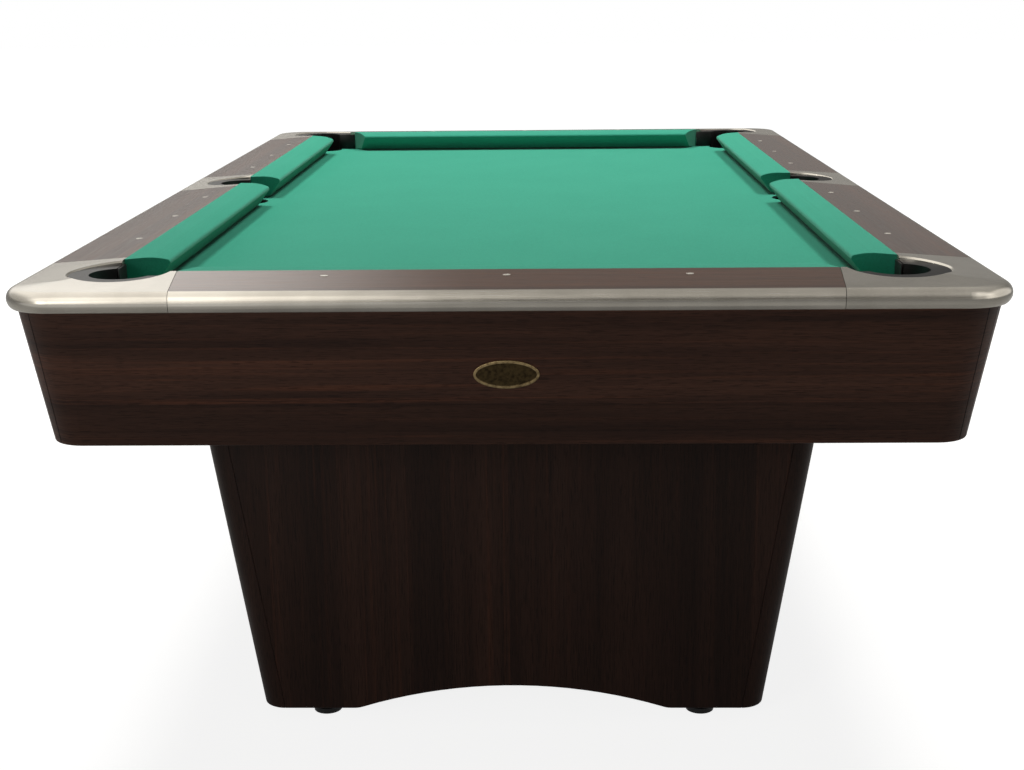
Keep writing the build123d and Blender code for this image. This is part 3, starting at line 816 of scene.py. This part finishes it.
@dataclass
class Rails:
    """Rails with their trim, sights, castings and moulded pockets."""

    ends: tuple[str, ...] = ("front", "rear")
    sides: tuple[str, ...] = ("left", "right")
    pocket_bore: float = 0.050
    cheek_thickness: float = 0.003
    cheek_round: float = 0.0008
    cheek_gap: float = 0.0005
    # Top of the cheeks, just below that of the pocket's flange.
    cheek_top: float = RAIL_CLOTH_HALF.z - 0.0075

    def build(self) -> list[bpy.types.Object]:
        """Build the cheeks: black plates that close each corner pocket from its throat to the two cushions,
        standing in as painted shade in the jaws.

        Returns:
            A pair of cheeks for each corner.
        """
        # The cheeks take the pockets' black plastic, which paints the shade inside the jaws.
        finish = moulded_pocket()
        pairs = []
        for end, along in zip(self.ends, (-1, 1)):
            for side, across in zip(self.sides, (-1, 1)):
                shape = bmesh.new()
                for axis in (0, 1):
                    self.add_cheek(shape, axis, Vector((across, along, 1)))
                bmesh.ops.bevel(
                    shape,
                    geom=list(shape.edges),
                    offset=self.cheek_round,
                    affect="EDGES",
                    segments=2,
                    profile=0.5,
                    material=-1,
                )
                pairs.append(make_piece(f"painted_shade_cheeks_{end}_{side}", shape, [finish]))
        return pairs

    def add_cheek(self, shape: bmesh.types.BMesh, axis: int, corner: Vector) -> None:
        """Stand one cheek, a black plate of painted shade, just inside the edge of the rail cloth.

        Args:
            shape: Mesh that gets it.
            axis: The axis that the cheek runs along, 0 for X and 1 for Y.
            corner: Signs of X and Y at the corner.
        """
        other = 1 - axis
        level = RAIL_CLOTH_HALF[other] - self.cheek_gap - self.cheek_thickness / 2
        start = FIELD_HALF[axis] - CORNER_TIP + CORNER_RUN + self.cheek_gap
        stop = CORNER_POCKET[axis] - math.sqrt(self.pocket_bore**2 - (level - CORNER_POCKET[other]) ** 2)
        base = BED_HALF.z + self.cheek_gap
        size = Vector((self.cheek_thickness, self.cheek_thickness, self.cheek_top - base))
        size[axis] = stop - start
        middle = Vector((level, level, (self.cheek_top + base) / 2))
        middle[axis] = (start + stop) / 2
        verts = bmesh.ops.create_cube(shape, size=1)["verts"]
        bmesh.ops.scale(shape, vec=size, verts=verts)
        bmesh.ops.translate(shape, vec=middle * corner, verts=verts)

    def dress(self) -> None:
        """Give the rail tops, the metal, the sights and the pockets their finishes."""
        gloss = {
            "ground": "#3E2616",
            "figure": "#482C1D",
            "streak": "#5B3726",
            "roughness": 0.35,
            "specular": 0.15,
            "coat": 0.75,
            "coat_roughness": 0.07,
        }
        across = WalnutLaminate("Walnut laminate, end rails", Grain.ACROSS, "Y", 34, **gloss).material()
        along = WalnutLaminate("Walnut laminate, side rails", Grain.ALONG, "X", 34, **gloss).material()
        halves = [(side, end) for side in self.sides for end in self.ends]
        dress([f"rail_{end}" for end in self.ends], across)
        dress([f"rail_{side}_{end}" for side, end in halves], along)
        cast = SatinNickel("Satin nickel casting", Grain.EVEN, metallic=0.75).material()
        dress([f"corner_casting_{end}_{side}" for side, end in halves], cast)
        dress([f"side_casting_{side}" for side in self.sides], cast)
        dress(["end_trims"], SatinNickel("Satin nickel trim, ends", Grain.ACROSS).material())
        dress(["side_trims"], SatinNickel("Satin nickel trim, sides", Grain.ALONG).material())
        dress([f"corner_pocket_{end}_{side}" for side, end in halves], moulded_pocket())
        dress([f"side_pocket_{side}" for side in self.sides], moulded_pocket())
        # Pearl inlay: warm white with a silky clouding under a clear face.
        pearl = Moulded("Pearl inlay", "#C9C2B4", "#F1ECE2", 1.2, roughness=0.24, relief=0.05, coat=0.6)
        dress(["sights"], pearl.material())


@dataclass
class Apron:
    """Four tapered apron boards, and the blank oval plate on the front one."""

    # Middle of the plate, on the front board's outer face.
    plate_place: Vector = field(default_factory=lambda: Vector((0, -1.2953, 0.659)))
    taper: float = math.radians(10.5)
    plate_half: tuple[float, float] = (0.050, 0.023)
    plate_thickness: float = 0.0024
    border: float = 0.0040
    sunk: float = 0.0009
    edge: float = 0.0006
    outline_steps: int = 96
    corner_radius: float = 0.096
    # How far round the corner the seam lies, from the end board's face.
    seam_angle: float = math.radians(39)
    seam_width: float = 0.0012
    seam_proud: float = 0.0003
    seam_sunk: float = 0.0010
    # Plain length left at the rounded bottom edge and under the trim.
    seam_margin: float = 0.003

    def build(self) -> list[bpy.types.Object]:
        """Build the plate and the filled seams at the corners.

        Returns:
            The plate and the seams.
        """
        return [self.build_plate(), self.build_seams()]

    def build_seams(self) -> bpy.types.Object:
        """Build the dark filled seam that runs down each rounded corner.

        Returns:
            The four seams, as one piece.
        """
        reach = Vector((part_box("apron_right")[1].x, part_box("apron_rear")[1].y, 0))
        foot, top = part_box("apron_rear")[0].z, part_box("apron_rear")[1].z
        root = reach - self.corner_radius * Vector((1, 1, 0)) + UP * (foot + top) / 2
        length = (top - foot) / math.cos(self.taper) - 2 * self.seam_margin
        radius = self.corner_radius - (top - foot) / 2 * math.tan(self.taper)
        shape = bmesh.new()
        for across in (-1, 1):
            for along in (-1, 1):
                signs = Vector((across, along, 1))
                out = Vector((math.sin(self.seam_angle), math.cos(self.seam_angle), 0)) * signs
                face = out * math.cos(self.taper) - UP * math.sin(self.taper)
                rise = out * math.sin(self.taper) + UP * math.cos(self.taper)
                turn = Matrix((face.cross(rise), face, rise)).transposed().to_4x4()
                verts = bmesh.ops.create_cube(shape, size=1)["verts"]
                size = (self.seam_width, self.seam_proud + self.seam_sunk, length)
                bmesh.ops.scale(shape, vec=size, verts=verts)
                middle = root * signs + out * radius + face * (self.seam_proud - self.seam_sunk) / 2
                bmesh.ops.transform(shape, matrix=Matrix.Translation(middle) @ turn, verts=verts)
        # Joint filler: a matt line, darker than the laminate on both sides of it.
        filler = Moulded("Dark joint filler", "#0A0706", "#120C0A", grit_mm=1.0, roughness=0.6, specular=0.2)
        return make_piece("apron_corner_seams", shape, [filler.material()])

    def build_plate(self) -> bpy.types.Object:
        """Build the plate: an oval with a raised border round a plain sunk field.

        Returns:
            The plate.
        """
        shape = bmesh.new()
        bmesh.ops.create_circle(shape, cap_ends=True, radius=1, segments=self.outline_steps)
        bmesh.ops.scale(shape, vec=(*self.plate_half, 1), verts=shape.verts)
        grown = bmesh.ops.extrude_face_region(shape, geom=list(shape.faces))["geom"]
        front = [part for part in grown if isinstance(part, bmesh.types.BMVert)]
        face = next(part for part in grown if isinstance(part, bmesh.types.BMFace))
        bmesh.ops.translate(shape, verts=front, vec=UP * self.plate_thickness)
        rim = list(face.edges)
        bmesh.ops.recalc_face_normals(shape, faces=shape.faces)
        bmesh.ops.inset_region(shape, faces=[face], thickness=self.border, use_even_offset=True)
        walls = bmesh.ops.inset_region(
            shape, faces=[face], thickness=self.sunk, depth=-self.sunk, use_even_offset=True
        )["faces"]
        for part in (face, *walls):
            part.material_index = 1
        bmesh.ops.bevel(
            shape, geom=rim, offset=self.edge, affect="EDGES", segments=3, profile=0.5, material=-1
        )
        across = Vector((1, 0, 0))
        rise = Vector((0, -math.sin(self.taper), math.cos(self.taper)))
        turn = Matrix((across, rise, across.cross(rise))).transposed().to_4x4()
        bmesh.ops.transform(shape, matrix=Matrix.Translation(self.plate_place) @ turn, verts=shape.verts)
        border = AgedBrass("Aged brass, rubbed border").material()
        ground = AgedBrass("Aged brass, dark ground", rubbed="#463A26", patina="#2A2217")
        return make_piece("blank_plate", shape, [border, ground.material()])

    def dress(self) -> None:
        """Give the boards and the brackets behind them their finishes."""
        laminate = WalnutLaminate("Walnut laminate, apron", Grain.LEVEL, "Z", 47)
        dress([f"apron_{side}" for side in ("front", "rear", "left", "right")], laminate.material())
        dress(["apron_corner_brackets"], sawn_pine())


def moulded_pocket() -> bpy.types.Material:
    """Moulded pocket: black plastic with a fine spark-eroded grain and a half-gloss face."""
    boot = Moulded("Moulded black pocket", "#131212", "#1C1B1B", grit_mm=1.5, roughness=0.38, specular=0.2)
    return boot.material()


def sawn_pine() -> bpy.types.Material:
    """Sawn softwood of the hidden frame: pale straw with a matt, slightly furry face."""
    return Moulded("Sawn pine", "#B08D5E", "#CFAF80", grit_mm=2.2, roughness=0.75, specular=0.25).material()


@dataclass
class Base:
    """Two pedestals on levelling feet, and the frame that they carry."""

    ends: tuple[str, ...] = ("front", "rear")
    rows: tuple[str, ...] = ("outer", "inner")
    sides: tuple[str, ...] = ("left", "right")

    def dress(self) -> None:
        """Give the pedestals, the frame and the feet their finishes."""
        dark = {"ground": "#281A15", "figure": "#3A2720", "streak": "#5A3729"}
        panel = WalnutLaminate("Walnut laminate, pedestal ends", Grain.UPRIGHT, "X", 58, **dark).material()
        flank = WalnutLaminate("Walnut laminate, pedestal sides", Grain.UPRIGHT, "Y", 58, **dark).material()
        for end in self.ends:
            dress([f"{end}_pedestal_{row}_panel" for row in self.rows], panel)
            dress([f"{end}_pedestal_{side}_side" for side in self.sides], flank)
            dress([f"{end}_pedestal_top"], sawn_pine())
        dress(["foot_blocks", "cross_beams", "long_beam_left", "long_beam_right"], sawn_pine())
        # Moulded nylon foot: matt black with a fine grain.
        nylon = Moulded("Moulded black nylon", "#0A0A0A", "#141414", grit_mm=1.2, roughness=0.28).material()
        feet = [f"foot_{end}_{row}_{side}" for end in self.ends for row in self.rows for side in self.sides]
        dress(feet, nylon)


@dataclass(frozen=True)
class Softbox:
    """A square studio light: its name, place, aim, side in metres, power in watts, and if it is mirrored."""

    name: str
    place: tuple[float, float, float]
    aim: tuple[float, float, float]
    side: float
    power: float
    mirrored: bool
    colour: str = "#FFFDF8"

    def build(self) -> None:
        """Hang the light."""
        lamp = bpy.data.lights.new(self.name, "AREA")
        lamp.shape = "SQUARE"
        lamp.size = self.side
        lamp.energy = self.power
        lamp.color = linear(self.colour)[:3]
        hung = bpy.data.objects.new(self.name, lamp)
        bpy.context.scene.collection.objects.link(hung)
        hung.visible_glossy = self.mirrored
        hung.location = self.place
        hung.rotation_euler = (Vector(self.aim) - Vector(self.place)).to_track_quat("-Z", "Y").to_euler()


@dataclass(frozen=True)
class RoomPart:
    """A part of the mirrored room: the axis it changes along, where it starts and ends, and its strengths."""

    axis: str
    bounds: tuple[float, float]
    strengths: tuple[float, float]


@dataclass
class Studio:
    """Pale floor, soft lights, the room that polish mirrors, and the camera in front of the near end."""

    floor_half: float = 30.0
    floor_colour: str = "#9A9A99"
    # Share of white that the floor gives to the camera by itself, so that it reads as paper.
    floor_glow: float = 0.86
    # Share of white that reflections see on the floor, besides its own light.
    floor_shine: float = 0.22
    # More of it lies on the floor far in front at the left, between these places along Y and X.
    patch_shine: float = 0.55
    patch_ahead: tuple[float, float] = (-2.3, -3.2)
    patch_aside: tuple[float, float] = (-0.2, -1.0)
    # The glow grows to full white between these distances from the table.
    glow_rise: tuple[float, float] = (1.6, 4.0)
    # Strength of the room's own soft light, next to white paper.
    ambient: float = 0.09
    # What polish mirrors: a dim horizon and ceiling, and a pane at the left with a darker frame, which
    # starts a little above the horizon ahead and reaches lower, and is brighter, behind the camera.
    horizon: RoomPart = RoomPart("Z", (0.14, 0.18), (0.29, 0.21))
    ceiling: RoomPart = RoomPart("Z", (0.3, 0.8), (0.0, 0.4))
    left: RoomPart = RoomPart("X", (-0.04, -0.25), (0.0, 1.35))
    frame_edge: RoomPart = RoomPart("X", (-0.85, -0.55), (0.4, 1.0))
    raised: RoomPart = RoomPart("Z", (0.145, 0.19), (0.0, 1.0))
    behind: RoomPart = RoomPart("Y", (-0.1, -0.5), (0.0, 1.7))
    upper: RoomPart = RoomPart("Z", (0.32, 0.44), (0.45, 1.0))
    # A weaker pane at the right, behind the camera, and a panel beside the table.
    right: RoomPart = RoomPart("X", (0.26, 0.46), (0.0, 0.8))
    beside: RoomPart = RoomPart("X", (0.66, 0.82), (0.0, 1.1))
    camera_place: tuple[float, float, float] = (0.0594, -3.5881, 1.2273)
    camera_yaw: float = -0.0223
    camera_pitch: float = 0.2498
    camera_roll: float = -0.0101
    lens_mm: float = 55.19
    sensor_mm: float = 36.0
    lights: tuple[Softbox, ...] = (
        Softbox("left overhead softbox", (-1.46, 1.5, 5.0), (-0.3, 0.3, 0.7), 1.2, 162, mirrored=False),
        Softbox("right overhead softbox", (1.46, 1.5, 5.0), (0.3, 0.3, 0.7), 1.2, 162, mirrored=False),
        Softbox("left front softbox", (-2.4, -4.6, 1.7), (-0.3, -1.2, 0.6), 1.5, 21, mirrored=True),
    )

    def build(self) -> None:
        """Build floor, surroundings, lights and camera."""
        self.build_floor()
        self.build_world()
        for light in self.lights:
            light.build()
        self.build_camera()
        bpy.context.scene.view_settings.view_transform = "Standard"

    def build_floor(self) -> None:
        """Lay the floor, which glows to the camera but keeps the table's shadow."""
        shape = bmesh.new()
        bmesh.ops.create_grid(shape, x_segments=1, y_segments=1, size=self.floor_half)
        mesh = bpy.data.meshes.new("studio_floor")
        shape.to_mesh(mesh)
        shape.free()
        paper = bpy.data.materials.new("Matt paper")
        paper.use_nodes = True
        tree = paper.node_tree
        tree.nodes.clear()
        rays = add_node(tree, "LightPath")
        place = add_node(tree, "TexCoord").outputs["Object"]
        axes = add_node(tree, "SeparateXYZ", {"Vector": place})
        away = add_node(tree, "VectorMath", {0: place}, operation="LENGTH")
        rising = add_node(
            tree,
            "MapRange",
            {
                0: away.outputs["Value"],
                1: self.glow_rise[0],
                2: self.glow_rise[1],
                3: self.floor_glow,
                4: 1.0,
            },
        )
        near, far = self.patch_ahead
        ahead = add_node(tree, "MapRange", {0: axes.outputs["Y"], 1: near, 2: far, 4: self.patch_shine})
        near, far = self.patch_aside
        aside = add_node(tree, "MapRange", {0: axes.outputs["X"], 1: near, 2: far})
        seen = add_node(
            tree,
            "Math",
            {0: ahead.outputs[0], 1: aside.outputs[0], 2: self.floor_shine},
            operation="MULTIPLY_ADD",
        )
        shine = add_node(
            tree, "Math", {0: rays.outputs["Is Glossy Ray"], 1: seen.outputs[0]}, operation="MULTIPLY"
        )
        strength = add_node(
            tree,
            "Math",
            {0: rays.outputs["Is Camera Ray"], 1: rising.outputs[0], 2: shine.outputs[0]},
            operation="MULTIPLY_ADD",
        )
        glow = add_node(tree, "Emission", {"Color": linear("#FFFFFF"), "Strength": strength.outputs[0]})
        matt = add_node(tree, "BsdfDiffuse", {"Color": linear(self.floor_colour)})
        both = add_node(tree, "AddShader", {0: glow.outputs[0], 1: matt.outputs[0]})
        add_node(tree, "OutputMaterial", {"Surface": both.outputs[0]})
        mesh.materials.append(paper)
        floor = bpy.data.objects.new("studio_floor", mesh)
        bpy.context.scene.collection.objects.link(floor)

    def build_world(self) -> None:
        """Surround the set: white to the camera, and else a dim room with brighter parts for reflections."""
        world = bpy.data.worlds.new("studio_room")
        bpy.context.scene.world = world
        world.use_nodes = True
        tree = world.node_tree
        tree.nodes.clear()
        way = add_node(tree, "TexCoord").outputs["Generated"]
        axes = add_node(tree, "SeparateXYZ", {"Vector": way})
        strengths = []
        for part in (
            self.horizon,
            self.ceiling,
            self.left,
            self.raised,
            self.behind,
            self.frame_edge,
            self.right,
            self.beside,
            self.upper,
        ):
            (first, last), (low, high) = part.bounds, part.strengths
            values = {0: axes.outputs[part.axis], 1: first, 2: last, 3: low, 4: high}
            strengths.append(
                add_node(tree, "MapRange", values, interpolation_type="SMOOTHSTEP").outputs[0]
            )
        horizon, ceiling, left, raised, behind, frame_edge, right, beside, upper = strengths
        behind = add_node(tree, "Math", {0: behind, 1: upper}, operation="MULTIPLY").outputs[0]
        pane = add_node(tree, "Math", {0: left, 1: frame_edge}, operation="MULTIPLY").outputs[0]
        open_part = add_node(tree, "Math", {0: raised, 1: behind}, operation="MAXIMUM").outputs[0]
        wall = add_node(tree, "Math", {0: horizon, 1: ceiling}, operation="ADD").outputs[0]
        wall = add_node(tree, "Math", {0: wall, 1: beside}, operation="ADD").outputs[0]
        lit = add_node(tree, "Math", {0: right, 1: behind, 2: wall}, operation="MULTIPLY_ADD").outputs[0]
        mirrored = add_node(
            tree, "Math", {0: pane, 1: open_part, 2: lit}, operation="MULTIPLY_ADD"
        ).outputs[0]
        rays = add_node(tree, "LightPath")
        room = add_node(
            tree,
            "Mix",
            {0: rays.outputs["Is Glossy Ray"], 2: self.ambient, 3: mirrored},
            data_type="FLOAT",
        ).outputs[0]
        surround = add_node(tree, "Background", {"Color": linear("#FFFCF7"), "Strength": room})
        paper = add_node(tree, "Background", {"Color": linear("#FFFFFF"), "Strength": 1.0})
        mixed = add_node(
            tree,
            "MixShader",
            {0: rays.outputs["Is Camera Ray"], 1: surround.outputs[0], 2: paper.outputs[0]},
        )
        add_node(tree, "OutputWorld", {"Surface": mixed.outputs[0]})

    def build_camera(self) -> None:
        """Set the camera up in front of the near end."""
        level = math.cos(self.camera_pitch)
        ahead = Vector(
            (
                math.sin(self.camera_yaw) * level,
                math.cos(self.camera_yaw) * level,
                -math.sin(self.camera_pitch),
            )
        )
        right = Vector((math.cos(self.camera_yaw), -math.sin(self.camera_yaw), 0))
        above = right.cross(ahead)
        cos, sin = math.cos(self.camera_roll), math.sin(self.camera_roll)
        turn = Matrix((cos * right + sin * above, cos * above - sin * right, -ahead)).transposed().to_4x4()
        lens = bpy.data.cameras.new("camera")
        lens.lens = self.lens_mm
        lens.sensor_width = self.sensor_mm
        lens.sensor_fit = "HORIZONTAL"
        camera = bpy.data.objects.new("camera", lens)
        bpy.context.scene.collection.objects.link(camera)
        camera.matrix_world = Matrix.Translation(self.camera_place) @ turn
        bpy.context.scene.camera = camera


def main() -> None:
    """Build and dress every sub-assembly, then the studio."""
    logging.basicConfig(level=logging.INFO, format="%(name)s: %(message)s")
    cloth = WorstedCloth().material()
    bed = Bed(cloth)
    bed.build()
    bed.dress()
    Cushions(cloth).build()
    rails = Rails()
    rails.build()
    rails.dress()
    apron = Apron()
    apron.build()
    apron.dress()
    Base().dress()
    Studio().build()


if __name__ == "__main__":
    main()
